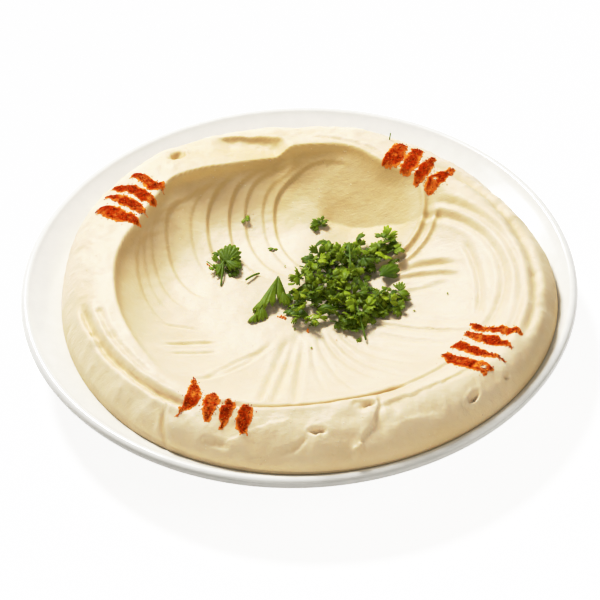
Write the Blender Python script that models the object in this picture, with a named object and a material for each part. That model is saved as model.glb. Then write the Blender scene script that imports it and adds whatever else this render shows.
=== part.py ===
"""Hummus in a shallow round plate, with chopped parsley on it.

Metres, +Z up. The origin is the middle of the plate's foot, on the surface
that the plate stands on. The front of the dish is towards -Y.

Four solids: the plate, the hummus, the heap of parsley in its well and the
single sprig beside the heap.
"""
import math

import bpy
import numpy as np

MM = 0.001
GAP = 0.3 * MM              # kept between a piece and what it rests on

# Plate: a shallow dish with a rounded lip and a foot ring.
PLATE_RADIUS = 110 * MM
PLATE_RIM_HEIGHT = 26 * MM
PLATE_LIP = 4.4 * MM        # thickness of the rounded lip
PLATE_WALL_TOP = 106 * MM   # radius where the inner wall meets the lip
PLATE_FLAT = 46 * MM        # radius of the flat middle
PLATE_FLOOR = 5 * MM        # height of the flat middle
PLATE_WALL_BEND = 1.55      # exponent of the inner wall's curve
PLATE_LIP_DROP = 0.9 * MM   # the inner wall ends this far below the lip's top
PLATE_WALL = 4.7 * MM       # the wall's thickness, measured upright
FOOT_OUTER = 62 * MM
FOOT_INNER = 57 * MM
FOOT_HEIGHT = 2.5 * MM
PLATE_SEGMENTS = 64

# Hummus: a ring-shaped bank round a scooped well, off centre in the plate.
HUMMUS_CENTRE = (3 * MM, -5 * MM)
WELL_FLOOR = 20.5 * MM      # height of the well's floor
EDGE_THICKNESS = 0.8 * MM   # thickness of the hummus at its foot
CREST_BLEND = 1.2 * MM      # rounding where the two slopes meet
BANK_ROUNDING = 1.7         # squareness of the bank's outer shoulder
HUMMUS_SEGMENTS = 104
WELL_RINGS = 5
WALL_RINGS = 12
BANK_RINGS = 9

# The bank at stations round the well. The angle is in degrees, anticlockwise
# from +X; lengths are in millimetres: the crest's radius and height, the
# foot's radius, the radius where the well's wall starts, and the exponents
# that shape the inner wall and the outer bank.
BANK_STATIONS = np.array([
    (0, 82.0, 36.8, 98.3, 22, 1.7, 2.2),
    (30, 75.0, 38.0, 95.3, 30, 1.5, 2.2),
    (60, 68.5, 39.5, 96.5, 34, 1.7, 2.6),
    (76, 73.4, 39.8, 96.8, 34.5, 1.9, 2.7),
    (90, 71.8, 40.0, 97.0, 35, 2.1, 2.8),
    (104, 67.6, 40.3, 98.6, 36, 2.0, 3.1),
    (116, 68.0, 40.4, 100.2, 37, 2.0, 3.3),
    (126, 71.8, 40.4, 101.3, 39, 2.1, 3.5),
    (134, 75.0, 40.2, 101.4, 40, 2.1, 3.6),
    (145, 72.8, 39.8, 101.1, 42, 2.2, 3.6),
    (155, 72.4, 39.4, 100.5, 42, 2.4, 3.4),
    (170, 74.6, 38.8, 98.0, 42, 2.6, 3.0),
    (190, 75.2, 38.0, 96.6, 42, 2.5, 2.6),
    (210, 76.2, 37.7, 96.8, 40, 2.2, 2.3),
    (240, 81.0, 38.5, 99.6, 35, 1.8, 2.0),
    (270, 79.5, 40.0, 99.9, 32, 1.8, 2.0),
    (300, 83.0, 39.5, 99.7, 30, 1.7, 2.0),
    (330, 88.5, 37.0, 99.8, 26, 1.7, 2.2),
])

# Spoon marks on the back left wall: the round edge of one spoon, pressed in
# again and again along a path. Each mark has its place along the path, the
# height of its step in millimetres, and the angles where it starts and ends.
SPOON_RADIUS = 21 * MM
SPOON_PATH = MM * np.array([(12, 42), (0, 41), (-9, 38.5), (-22, 35), (-32, 29), (-39, 20), (-44, 8)])
SPOON_MARKS = [
    (0.0, 2.4, 85, 205),
    (0.165, 1.7, 100, 215),
    (0.29, 2.2, 95, 205),
    (0.375, 2.2, 95, 205),
    (0.60, 1.2, 115, 215),
    (0.72, 1.0, 130, 215),
    (0.88, 0.9, 140, 215),
]
MARK_EDGE = 1.6 * MM        # width of a mark's step
MARK_REACH = 5 * MM         # how far a mark's slope runs out
MARK_FADE = 22.0            # degrees over which a mark dies away

# The last scoop, at the back right of the well.
SCOOP_CENTRE = (22 * MM, 37 * MM)
SCOOP_RADIUS = 30 * MM
SCOOP_DEPTH = 2.0 * MM

# Parsley: mounds with an uneven outline. Each outline has an angle in degrees
# and a radius in millimetres.
HEAP_CENTRE = (14 * MM, 2 * MM)
HEAP_HEIGHT = 12 * MM
HEAP_OUTLINE = np.array([
    (5, 20), (29, 28), (38, 36), (63, 34), (91, 29), (117, 24), (148, 22),
    (200, 30), (211, 37), (233, 29), (256, 26), (286, 31), (328, 30), (341, 32),
])
SPRIG_CENTRE = (-28.5 * MM, 14 * MM)
SPRIG_HEIGHT = 7 * MM
SPRIG_OUTLINE = np.array([(28, 7.3), (93, 12.3), (186, 6.7), (253, 12.1), (295, 7.9)])
MOUND_GAP = 0.5 * MM        # a mound's underside over the facets of the spoon marks
MOUND_EDGE = 0.35           # height of a mound's rim as a part of its height
MOUND_LUMPS = 0.16          # unevenness of a mound's top as a part of its height


def clear_scene():
    for old in list(bpy.data.objects):
        bpy.data.objects.remove(old)


def material(name, colour, roughness, metallic=0.0):
    made = bpy.data.materials.new(name)
    made.use_nodes = True
    shader = made.node_tree.nodes["Principled BSDF"]
    shader.inputs["Base Color"].default_value = (*colour, 1.0)
    shader.inputs["Roughness"].default_value = roughness
    shader.inputs["Metallic"].default_value = metallic
    return made


def round_loop(angles, values, angle):
    """A smooth closed curve through values at angles, read at angle, in degrees."""
    x = np.concatenate([angles[-2:] - 360, angles, angles[:2] + 360])
    y = np.concatenate([values[-2:], values, values[:2]])
    angle = np.mod(angle, 360.0)
    i = np.clip(np.searchsorted(x, angle, side="right") - 1, 1, len(x) - 3)
    x0, x1, x2, x3 = x[i - 1], x[i], x[i + 1], x[i + 2]
    y0, y1, y2, y3 = y[i - 1], y[i], y[i + 1], y[i + 2]
    span = x2 - x1
    before = (y1 - y0) / (x1 - x0)
    within = (y2 - y1) / span
    after = (y3 - y2) / (x3 - x2)
    slope1 = (before * span + within * (x1 - x0)) / (x2 - x0)
    slope2 = (within * (x3 - x2) + after * span) / (x3 - x1)
    t = (angle - x1) / span
    return ((2 * t**3 - 3 * t**2 + 1) * y1 + (t**3 - 2 * t**2 + t) * span * slope1
            + (3 * t**2 - 2 * t**3) * y2 + (t**3 - t**2) * span * slope2)


def smooth_step(t):
    t = np.clip(t, 0, 1)
    return t * t * (3 - 2 * t)


def smooth_minimum(a, b, width):
    mix = np.clip(0.5 + 0.5 * (b - a) / width, 0, 1)
    return b + (a - b) * mix - width * mix * (1 - mix)


def plate_surface(radius):
    """Height of the plate's upper side at a radius from its middle."""
    along = np.clip((radius - PLATE_FLAT) / (PLATE_WALL_TOP - PLATE_FLAT), 0, 1.2)
    rise = PLATE_RIM_HEIGHT - PLATE_LIP_DROP - PLATE_FLOOR
    return PLATE_FLOOR + rise * along**PLATE_WALL_BEND


def path_point(points, t):
    """A point on the smooth curve through points, with t from 0 to 1."""
    last = len(points) - 1
    i = min(int(t * last), last - 1)
    f = t * last - i
    p0, p1 = points[max(i - 1, 0)], points[i]
    p2, p3 = points[i + 1], points[min(i + 2, last)]
    return 0.5 * (2 * p1 + (p2 - p0) * f + (2 * p0 - 5 * p1 + 4 * p2 - p3) * f**2
                  + (3 * p1 - 3 * p2 + p3 - p0) * f**3)


def spoon_marks(x, y):
    """Steps where the spoon's edge stopped: the side away from the spoon stands up."""
    height = np.zeros_like(x)
    for place, step, first, last in SPOON_MARKS:
        cx, cy = path_point(SPOON_PATH, place)
        radius = np.hypot(x - cx, y - cy)
        angle = np.degrees(np.arctan2(y - cy, x - cx)) % 360
        inside = np.minimum((angle - first) / MARK_FADE + 1, (last - angle) / MARK_FADE + 1)
        side = radius - SPOON_RADIUS
        height += (0.5 * step * MM * smooth_step(inside)
                   * np.tanh(side / MARK_EDGE) * np.exp(-np.abs(side) / MARK_REACH))
    return height


def scoop(x, y):
    """A shallow round hollow, deepest in its middle."""
    radius = np.hypot(x - SCOOP_CENTRE[0], y - SCOOP_CENTRE[1]) / SCOOP_RADIUS
    return -SCOOP_DEPTH * smooth_step(1 - radius)


def bank_stations(angle):
    """Crest radius and height, foot and toe radius, and the two exponents, at an angle."""
    columns = [round_loop(BANK_STATIONS[:, 0], BANK_STATIONS[:, k], angle) for k in range(1, 7)]
    return [MM * c for c in columns[:4]] + columns[4:]


def foot_height(angle, foot):
    x = HUMMUS_CENTRE[0] + foot * np.cos(np.radians(angle))
    y = HUMMUS_CENTRE[1] + foot * np.sin(np.radians(angle))
    return plate_surface(np.hypot(x, y)) + GAP + EDGE_THICKNESS


def hummus_surface(x, y):
    """Height of the hummus: the well's wall and the outer bank, whichever is lower."""
    dx, dy = x - HUMMUS_CENTRE[0], y - HUMMUS_CENTRE[1]
    radius = np.hypot(dx, dy)
    angle = np.degrees(np.arctan2(dy, dx)) % 360
    crest, crest_height, foot, toe, wall_bend, bank_bend = bank_stations(angle)
    up_wall = np.clip((radius - toe) / (crest - toe), 0, None)
    wall = WELL_FLOOR + (crest_height - WELL_FLOOR) * up_wall**wall_bend
    down_bank = np.clip((radius - crest) / (foot - crest), 0, 1)
    base = foot_height(angle, foot)
    bank = base + (crest_height - base) * (1 - down_bank**bank_bend)**(1 / BANK_ROUNDING)
    return smooth_minimum(wall, bank, CREST_BLEND) + spoon_marks(x, y) + scoop(x, y)


def make_object(name, points, faces, look):
    mesh = bpy.data.meshes.new(name)
    mesh.from_pydata([tuple(map(float, p)) for p in points], [], faces)
    mesh.materials.append(look)
    mesh.shade_smooth()
    mesh.set_sharp_from_angle(angle=math.radians(40))
    made = bpy.data.objects.new(name, mesh)
    bpy.context.scene.collection.objects.link(made)
    return made


def ring_shell(middle_top, rings, middle_bottom):
    """A closed shell: rings from the middle of the top, out, and back under to the middle."""
    count = len(rings[0])
    points = [middle_top] + [p for ring in rings for p in ring] + [middle_bottom]
    faces = []
    for j in range(count):
        k = (j + 1) % count
        faces.append((0, 1 + j, 1 + k))
        for i in range(len(rings) - 1):
            near, far = 1 + i * count, 1 + (i + 1) * count
            faces.append((near + j, far + j, far + k, near + k))
        under = 1 + (len(rings) - 1) * count
        faces.append((len(points) - 1, under + k, under + j))
    return points, faces


def turned_ring(radius, height, segments):
    turns = np.arange(segments) * 2 * math.pi / segments
    return [(radius * math.cos(a), radius * math.sin(a), height) for a in turns]


def make_plate():
    profile = [(r, plate_surface(r)) for r in (0.5 * PLATE_FLAT, PLATE_FLAT)]
    for r in np.linspace(PLATE_FLAT, PLATE_WALL_TOP, 7)[1:]:
        profile.append((r, plate_surface(r)))
    lip = PLATE_LIP / 2
    for turn in range(120, -91, -30):
        a = math.radians(turn)
        profile.append((PLATE_RADIUS - lip + lip * math.cos(a),
                        PLATE_RIM_HEIGHT - lip + lip * math.sin(a)))
    for r in (96 * MM, 80 * MM, FOOT_OUTER + 3 * MM):
        profile.append((r, plate_surface(r) - PLATE_WALL))
    profile += [(FOOT_OUTER, 0.0), (FOOT_INNER, 0.0), (FOOT_INNER, FOOT_HEIGHT)]
    rings = [turned_ring(r, z, PLATE_SEGMENTS) for r, z in profile]
    points, faces = ring_shell((0, 0, PLATE_FLOOR), rings, (0, 0, FOOT_HEIGHT))
    return make_object("plate", points, faces, material("glazed_plate", (0.86, 0.86, 0.83), 0.15))


def make_hummus():
    angle = np.arange(HUMMUS_SEGMENTS) * 360.0 / HUMMUS_SEGMENTS
    cos, sin = np.cos(np.radians(angle)), np.sin(np.radians(angle))
    crest, _, foot, toe, _, _ = bank_stations(angle)

    def place(radius):
        return HUMMUS_CENTRE[0] + radius * cos, HUMMUS_CENTRE[1] + radius * sin

    rings = []
    radii = [toe * i / WELL_RINGS for i in range(1, WELL_RINGS + 1)]
    radii += [toe + (crest - toe) * i / WALL_RINGS for i in range(1, WALL_RINGS + 1)]
    quarter = [math.sin(0.5 * math.pi * i / BANK_RINGS) for i in range(1, BANK_RINGS)]
    radii += [crest + (foot - crest) * q for q in quarter]
    for radius in radii:
        x, y = place(radius)
        rings.append(list(zip(x, y, hummus_surface(x, y))))
    x, y = place(foot)
    rings.append(list(zip(x, y, foot_height(angle, foot))))
    for part in (1.0, 0.88, 0.75, 0.6, 0.45):
        x, y = place(foot * part)
        rings.append(list(zip(x, y, plate_surface(np.hypot(x, y)) + GAP)))
    cx, cy = HUMMUS_CENTRE
    top = float(hummus_surface(np.array([cx]), np.array([cy]))[0])
    points, faces = ring_shell((cx, cy, top), rings, (cx, cy, PLATE_FLOOR + GAP))
    return make_object("hummus", points, faces, material("hummus", (0.80, 0.66, 0.43), 0.5))


def make_mound(name, centre, outline, height, segments, steps):
    """A low uneven mound, standing just clear of the hummus."""
    angle = np.arange(segments) * 360.0 / segments
    reach = MM * round_loop(outline[:, 0], outline[:, 1], angle)
    cos, sin = np.cos(np.radians(angle)), np.sin(np.radians(angle))

    def place(part):
        return centre[0] + reach * part * cos, centre[1] + reach * part * sin

    def top(x, y, part):
        crown = MOUND_EDGE + (1 - MOUND_EDGE) * (1 - part**2)
        lumps = MOUND_LUMPS * np.sin(x / (3.1 * MM)) * np.sin(y / (2.7 * MM) + 1.0) * (1 - part**4)
        return hummus_surface(x, y) + height * (crown + lumps)

    rings = []
    for i in range(1, steps + 1):
        x, y = place(i / steps)
        rings.append(list(zip(x, y, top(x, y, i / steps))))
    for part in (1.0, 0.75, 0.5, 0.25):
        x, y = place(part)
        rings.append(list(zip(x, y, hummus_surface(x, y) + MOUND_GAP)))
    cx, cy = np.array([centre[0]]), np.array([centre[1]])
    peak = (centre[0], centre[1], float(top(cx, cy, 0.0)[0]))
    base = (centre[0], centre[1], float(hummus_surface(cx, cy)[0]) + MOUND_GAP)
    points, faces = ring_shell(peak, rings, base)
    return make_object(name, points, faces, material(name, (0.10, 0.28, 0.03), 0.5))


clear_scene()
make_plate()
make_hummus()
make_mound("parsley_heap", HEAP_CENTRE, HEAP_OUTLINE, HEAP_HEIGHT, 32, 5)
make_mound("parsley_sprig", SPRIG_CENTRE, SPRIG_OUTLINE, SPRIG_HEIGHT, 16, 3)
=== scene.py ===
# %% [markdown]
# # A plate of hummus
# This lesson dresses a plain measured model of a starter: hummus in a shallow white plate, with
# a scooped well, stripes of ground paprika on the bank and chopped parsley in the middle. The
# measured model, called the frame, gives every place and size. The lesson makes the glazed
# plate, the spooned surface, the powder and the leaves around it, and gives each a finish.
# Everything is worked out in millimetres and turned into Blender's metres at the end.

# %% Load the frame
import math
import bpy
import numpy as np
from mathutils import Matrix, Quaternion, Vector


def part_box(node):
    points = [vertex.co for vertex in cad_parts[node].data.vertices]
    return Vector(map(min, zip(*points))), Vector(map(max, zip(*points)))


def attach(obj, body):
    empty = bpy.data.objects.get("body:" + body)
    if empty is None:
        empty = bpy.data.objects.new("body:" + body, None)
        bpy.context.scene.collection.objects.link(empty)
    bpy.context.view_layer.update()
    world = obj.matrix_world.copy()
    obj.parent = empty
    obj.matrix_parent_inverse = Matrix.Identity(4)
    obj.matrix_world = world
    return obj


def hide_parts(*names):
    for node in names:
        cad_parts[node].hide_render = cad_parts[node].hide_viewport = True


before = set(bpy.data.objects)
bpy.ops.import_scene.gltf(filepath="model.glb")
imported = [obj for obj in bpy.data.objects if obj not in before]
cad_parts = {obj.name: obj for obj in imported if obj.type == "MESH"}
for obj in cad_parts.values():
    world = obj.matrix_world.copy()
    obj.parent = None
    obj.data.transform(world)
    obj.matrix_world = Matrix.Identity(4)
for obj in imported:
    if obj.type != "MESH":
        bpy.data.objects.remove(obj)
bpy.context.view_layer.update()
MM = 0.001
print("nodes:", sorted(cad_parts))

# %% Measure the frame, in millimetres
plate_low, plate_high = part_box("plate")
hummus_low, hummus_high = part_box("hummus")
PLATE_RADIUS = plate_high.x / MM
PLATE_RIM = plate_high.z / MM
TOP_LIMIT = hummus_high.z / MM - 0.1
print("plate radius", round(PLATE_RADIUS, 1), "rim", round(PLATE_RIM, 1), "top", round(TOP_LIMIT, 1))

# %% [markdown]
# # Writing materials as sums
# A material is a net of nodes. Wiring dozens of Math nodes by hand hides what they work out, so
# a small class wraps a socket and lets Python's own + - * / make the Math nodes. One method
# makes every other node: it takes the node's type, then its settings, then the values or links
# of its sockets.

# %% Shader helpers
class Wire:
    """One output socket. Arithmetic on it adds Math nodes to its recipe."""

    def __init__(self, recipe, socket):
        self.recipe = recipe
        self.socket = socket

    def math(self, operation, *others):
        return self.recipe.node("ShaderNodeMath", {"operation": operation}, [self, *others])

    def __add__(self, other):
        return self.math("ADD", other)

    def __mul__(self, other):
        return self.math("MULTIPLY", other)

    def __sub__(self, other):
        return self.math("SUBTRACT", other)

    def __rsub__(self, other):
        return self.recipe.node("ShaderNodeMath", {"operation": "SUBTRACT"}, [other, self])

    def __truediv__(self, other):
        return self.math("DIVIDE", other)

    def __pow__(self, other):
        return self.math("POWER", other)

    __radd__ = __add__
    __rmul__ = __mul__

    def clamped(self, low=0.0, high=1.0):
        return self.recipe.node("ShaderNodeClamp", {}, [self, low, high])

    def stretched(self, low, high):
        """0 at low and 1 at high, straight between."""
        return ((self - low) * (1.0 / (high - low))).clamped()


class Recipe:
    """A material under construction, with the shader's own sockets set by name."""

    def __init__(self, name, **constants):
        self.material = bpy.data.materials.new(name)
        self.material.use_nodes = True
        self.tree = self.material.node_tree
        self.shader = self.tree.nodes["Principled BSDF"]
        for socket, value in constants.items():
            self.shader.inputs[socket.replace("_", " ")].default_value = value

    def node(self, kind, settings, sockets, output=0):
        made = self.tree.nodes.new(kind)
        for key, value in settings.items():
            if key == "stops":
                self.set_stops(made.color_ramp, value)
            else:
                setattr(made, key, value)
        pairs = sockets.items() if isinstance(sockets, dict) else enumerate(sockets)
        for key, value in pairs:
            self.feed(made.inputs[key], value)
        return Wire(self, made.outputs[output])

    def feed(self, socket, value):
        if isinstance(value, Wire):
            self.tree.links.new(value.socket, socket)
        elif isinstance(value, tuple) and len(value) == 3 and socket.type == "RGBA":
            socket.default_value = (*value, 1.0)
        else:
            socket.default_value = value

    def set_stops(self, ramp, stops):
        while len(ramp.elements) < len(stops):
            ramp.elements.new(1.0)
        for element, (position, colour) in zip(ramp.elements, stops):
            element.position = position
            element.color = (*colour, 1.0)

    def place(self, stretch=(1.0, 1.0, 1.0)):
        """Position in the object's own space, in metres, stretched as asked."""
        coordinates = self.node("ShaderNodeTexCoord", {}, {}, "Object")
        return self.node("ShaderNodeMapping", {}, {"Vector": coordinates, "Scale": stretch})

    def noise(self, size_mm, detail=3.0, stretch=(1.0, 1.0, 1.0), roughness=0.55):
        settings = {"noise_dimensions": "3D"}
        sockets = {"Vector": self.place(stretch), "Scale": 1.0 / (size_mm * MM), "Detail": detail,
                   "Roughness": roughness}
        return self.node("ShaderNodeTexNoise", settings, sockets, "Fac")

    def attribute(self, name):
        return self.node("ShaderNodeAttribute", {"attribute_name": name}, {}, "Fac")

    def mix(self, factor, first, second, blend="MIX"):
        settings = {"data_type": "RGBA", "blend_type": blend}
        return self.node("ShaderNodeMix", settings, {0: factor, 6: first, 7: second}, 2)

    def bump(self, height, strength, distance_mm):
        sockets = {"Height": height, "Strength": strength, "Distance": distance_mm * MM}
        return self.node("ShaderNodeBump", {}, sockets)

    def surface(self, **links):
        for socket, value in links.items():
            self.feed(self.shader.inputs[socket.replace("_", " ")], value)
        return self.material


def new_mesh_object(name, points_mm, faces, material=None, smooth=True):
    """A mesh object at the origin whose points are given in millimetres."""
    mesh = bpy.data.meshes.new(name)
    mesh.from_pydata((np.asarray(points_mm, float) * MM).tolist(), [], faces)
    if material:
        mesh.materials.append(material)
    if smooth:
        mesh.shade_smooth()
    made = bpy.data.objects.new(name, mesh)
    bpy.context.scene.collection.objects.link(made)
    return made


def set_attribute(mesh, name, values, kind="FLOAT"):
    layer = mesh.attributes.new(name, kind, "POINT")
    layer.data.foreach_set("value", np.asarray(values).ravel())


# %% [markdown]
# # Geometry Nodes from Python
# Rings, grains and leaves repeat by a rule, so they are made by node trees. A short class names
# the tree's inputs, adds nodes in the same style as the materials, and at the end turns the
# result into a plain mesh, so that nothing live is left behind.

# %% Geometry Nodes helper
class Growth:
    """A Geometry Nodes tree with named inputs."""

    def __init__(self, name):
        self.tree = bpy.data.node_groups.new(name, "GeometryNodeTree")
        self.tree.interface.new_socket("Geometry", in_out="INPUT", socket_type="NodeSocketGeometry")
        self.tree.interface.new_socket("Geometry", in_out="OUTPUT", socket_type="NodeSocketGeometry")
        self.inlet = self.tree.nodes.new("NodeGroupInput")
        self.outlet = self.tree.nodes.new("NodeGroupOutput")
        self.values = {}

    def input(self, name, value, kind="NodeSocketFloat"):
        """Adds a named input and returns its socket inside the tree."""
        made = self.tree.interface.new_socket(name, in_out="INPUT", socket_type=kind)
        self.values[made.identifier] = value
        return self.inlet.outputs[name]

    def node(self, kind, settings=(), sockets=(), output=0):
        made = self.tree.nodes.new(kind)
        for key, value in dict(settings).items():
            setattr(made, key, value)
        for key, value in dict(sockets).items():
            if isinstance(value, bpy.types.NodeSocket):
                self.tree.links.new(value, made.inputs[key])
            else:
                made.inputs[key].default_value = value
        return made.outputs[output]

    def named(self, name, kind="FLOAT"):
        settings = {"data_type": kind}
        return self.node("GeometryNodeInputNamedAttribute", settings, {"Name": name}, "Attribute")

    def finish(self, geometry, material):
        """Closes the tree with real geometry that carries its material."""
        real = self.node("GeometryNodeRealizeInstances", {}, {"Geometry": geometry})
        smooth = self.node("GeometryNodeSetShadeSmooth", {}, {"Geometry": real})
        done = self.node("GeometryNodeSetMaterial", {}, {"Geometry": smooth, "Material": material})
        self.tree.links.new(done, self.outlet.inputs[0])

    def grow(self, seed_object, name):
        """Runs the tree on an object and returns the result as a plain mesh object."""
        modifier = seed_object.modifiers.new(name, "NODES")
        modifier.node_group = self.tree
        for identifier, value in self.values.items():
            modifier[identifier] = value
        bpy.context.view_layer.update()
        evaluated = seed_object.evaluated_get(bpy.context.evaluated_depsgraph_get())
        mesh = bpy.data.meshes.new_from_object(evaluated)
        seed_object.modifiers.remove(modifier)
        bpy.data.objects.remove(seed_object)
        mesh.name = name
        made = bpy.data.objects.new(name, mesh)
        bpy.context.scene.collection.objects.link(made)
        return made


# %% [markdown]
# # The plate
# The dish is glazed white ceramic: a flat middle, a wall that curls up and out, and a rounded
# lip. Such a shape is turned, so one profile drawn from the middle outwards and swept round a
# circle makes it. The sweep is done by Curve to Mesh on a circle. A spin would do as well, but
# the node tree keeps the number of steps as one named input.

# %% Plate: sizes and profile, in millimetres
PLATE_FLAT = 46.0
PLATE_WALL_TOP = 106.0
PLATE_FLOOR = 5.0
PLATE_LIP = 4.4
PLATE_LIP_DROP = 0.9
PLATE_WALL = 4.7
FOOT_OUTER = 62.0
FOOT_INNER = 57.0
FOOT_HEIGHT = 2.5


def dish_height(radius):
    """Height of the plate's inner side at a radius."""
    along = np.clip((radius - PLATE_FLAT) / (PLATE_WALL_TOP - PLATE_FLAT), 0, 1.2)
    return PLATE_FLOOR + (PLATE_RIM - PLATE_LIP_DROP - PLATE_FLOOR) * along**1.55


def plate_profile():
    """Radius and height pairs, from the middle of the top to the middle of the foot."""
    inner = [(r, dish_height(r)) for r in np.linspace(0, PLATE_WALL_TOP - 0.6, 56)]
    round_lip = PLATE_LIP / 2
    lip = []
    for degrees in np.linspace(132, -90, 26):
        a = math.radians(degrees)
        lip.append((PLATE_RADIUS - round_lip + round_lip * math.cos(a),
                    PLATE_RIM - round_lip + round_lip * math.sin(a)))
    outer = [(r, dish_height(r) - PLATE_WALL) for r in np.linspace(103, FOOT_OUTER + 3, 22)]
    foot = [(FOOT_OUTER + 1.0, 0.9), (FOOT_OUTER + 0.3, 0.2), (FOOT_OUTER - 0.4, 0.0),
            (FOOT_INNER + 0.5, 0.0), (FOOT_INNER - 0.2, 0.6), (FOOT_INNER - 0.8, FOOT_HEIGHT)]
    return inner + lip + outer + foot + [(0, FOOT_HEIGHT)]


# %% Plate: glaze
glaze = Recipe("plate_glaze", Specular_IOR_Level=0.5, Coat_Weight=0.25, Coat_Roughness=0.06)
ripple = glaze.noise(22.0, 2.0)
mist = glaze.noise(6.0, 4.0)
glaze_white = glaze.mix(mist.stretched(0.35, 0.75), (0.80, 0.80, 0.775), (0.84, 0.84, 0.815))
plate_glaze = glaze.surface(
    Base_Color=glaze_white,
    Roughness=0.13 + 0.10 * mist,
    Normal=glaze.bump(ripple + 0.15 * mist, 0.25, 0.5),
)

# %% Plate: turn the profile
profile = new_mesh_object("plate_profile", [(r, -z, 0) for r, z in plate_profile()], [])
profile.data.edges.add(len(profile.data.vertices) - 1)
for i, edge in enumerate(profile.data.edges):
    edge.vertices = (i, i + 1)
turning = Growth("turned_plate")
steps = turning.input("Steps round", 224, "NodeSocketInt")
hub = turning.input("Hub radius", 0.0005 * MM)
outline = turning.node("GeometryNodeMeshToCurve", {}, {"Mesh": turning.inlet.outputs["Geometry"]})
circle = turning.node("GeometryNodeCurvePrimitiveCircle", {}, {"Resolution": steps, "Radius": hub})
upright = turning.node("GeometryNodeSetCurveNormal", {"mode": "Z_UP"}, {"Curve": circle})
swept = turning.node("GeometryNodeCurveToMesh", {}, {"Curve": upright, "Profile Curve": outline})
closed = turning.node("GeometryNodeMergeByDistance", {}, {"Geometry": swept, "Distance": 0.01 * MM})
turning.finish(closed, plate_glaze)
plate = turning.grow(profile, "glazed_plate")
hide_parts("plate")
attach(plate, "root")
print("plate faces:", len(plate.data.polygons))

# %% [markdown]
# # The hummus
# Hummus is a stiff, smooth paste. It is dropped in the middle of the plate, and the back of a
# wet spoon is turned round in it, so that a bank is pushed up round a shallow well. Every
# movement of the spoon stays visible: steps where its edge stopped, rays where it was drawn
# towards the bank, long tracks where it ran round. All of this is relief of 0.3 to 3 mm, too
# deep for a bump texture to be believed from the side, so it is real geometry. A height for
# each place on the plate is enough, because nothing overhangs: the form is written as one
# function of x and y, which adds the marks to the plain bank, and is read on a fine grid.

# %% Hummus: the plain bank and its well, in millimetres
WELL_MIDDLE = (3.0, -5.0)
WELL_FLOOR = 20.5
# angle, crest radius and height, foot radius, toe radius, inner wall and outer bank exponents
BANK = np.array([
    (0, 82.0, 36.8, 98.3, 22, 1.7, 2.2),
    (30, 75.0, 38.0, 95.3, 30, 1.5, 2.2),
    (60, 68.5, 39.5, 96.5, 34, 1.7, 2.6),
    (76, 73.4, 39.8, 96.8, 34.5, 1.9, 2.7),
    (90, 71.8, 40.0, 97.0, 35, 2.1, 2.8),
    (104, 67.6, 40.3, 98.6, 36, 2.0, 3.1),
    (116, 68.0, 40.4, 100.2, 37, 2.0, 3.3),
    (126, 71.8, 40.4, 101.3, 39, 2.1, 3.5),
    (134, 75.0, 40.2, 101.4, 40, 2.1, 3.6),
    (145, 72.8, 39.8, 101.1, 42, 2.2, 3.6),
    (155, 72.4, 39.4, 100.5, 42, 2.4, 3.4),
    (170, 74.6, 38.8, 98.0, 42, 2.6, 3.0),
    (190, 75.2, 38.0, 96.6, 42, 2.5, 2.6),
    (210, 76.2, 37.7, 96.8, 40, 2.2, 2.3),
    (240, 81.0, 38.5, 99.6, 35, 1.8, 2.0),
    (270, 79.5, 40.0, 99.9, 32, 1.8, 2.0),
    (300, 83.0, 39.5, 99.7, 30, 1.7, 2.0),
    (330, 88.5, 37.0, 99.8, 26, 1.7, 2.2),
])


def round_loop(angles, values, angle):
    """A smooth closed curve through values at angles, read at angle, in degrees."""
    x = np.concatenate([angles[-2:] - 360, angles, angles[:2] + 360])
    y = np.concatenate([values[-2:], values, values[:2]])
    angle = np.mod(angle, 360.0)
    i = np.clip(np.searchsorted(x, angle, side="right") - 1, 1, len(x) - 3)
    x0, x1, x2, x3 = x[i - 1], x[i], x[i + 1], x[i + 2]
    y0, y1, y2, y3 = y[i - 1], y[i], y[i + 1], y[i + 2]
    span = x2 - x1
    before, within, after = (y1 - y0) / (x1 - x0), (y2 - y1) / span, (y3 - y2) / (x3 - x2)
    slope1 = (before * span + within * (x1 - x0)) / (x2 - x0)
    slope2 = (within * (x3 - x2) + after * span) / (x3 - x1)
    t = (angle - x1) / span
    return ((2 * t**3 - 3 * t**2 + 1) * y1 + (t**3 - 2 * t**2 + t) * span * slope1
            + (3 * t**2 - 2 * t**3) * y2 + (t**3 - t**2) * span * slope2)


def ease(t):
    """0 below 0, 1 above 1, and smooth between."""
    t = np.clip(t, 0, 1)
    return t * t * (3 - 2 * t)


def between(t, low, high, fade):
    """1 from low to high, dying away over fade on both sides."""
    return ease(np.minimum((t - low) / fade + 1, (high - t) / fade + 1))


def lesser(a, b, width):
    """The smaller of two heights, with the edge where they meet rounded over width."""
    mix = np.clip(0.5 + 0.5 * (b - a) / width, 0, 1)
    return b + (a - b) * mix - width * mix * (1 - mix)


def around(x, y, middle):
    """Distance and direction, in degrees, from a middle."""
    dx, dy = x - middle[0], y - middle[1]
    return np.hypot(dx, dy), np.degrees(np.arctan2(dy, dx)) % 360


def turn(degrees):
    """An angle brought to between -180 and 180."""
    return (degrees + 180) % 360 - 180


def bank_at(angle):
    return [round_loop(BANK[:, 0], BANK[:, k], angle) for k in range(1, 7)]


def foot_height(angle, foot):
    x = WELL_MIDDLE[0] + foot * np.cos(np.radians(angle))
    y = WELL_MIDDLE[1] + foot * np.sin(np.radians(angle))
    return dish_height(np.hypot(x, y)) + 0.5


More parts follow.
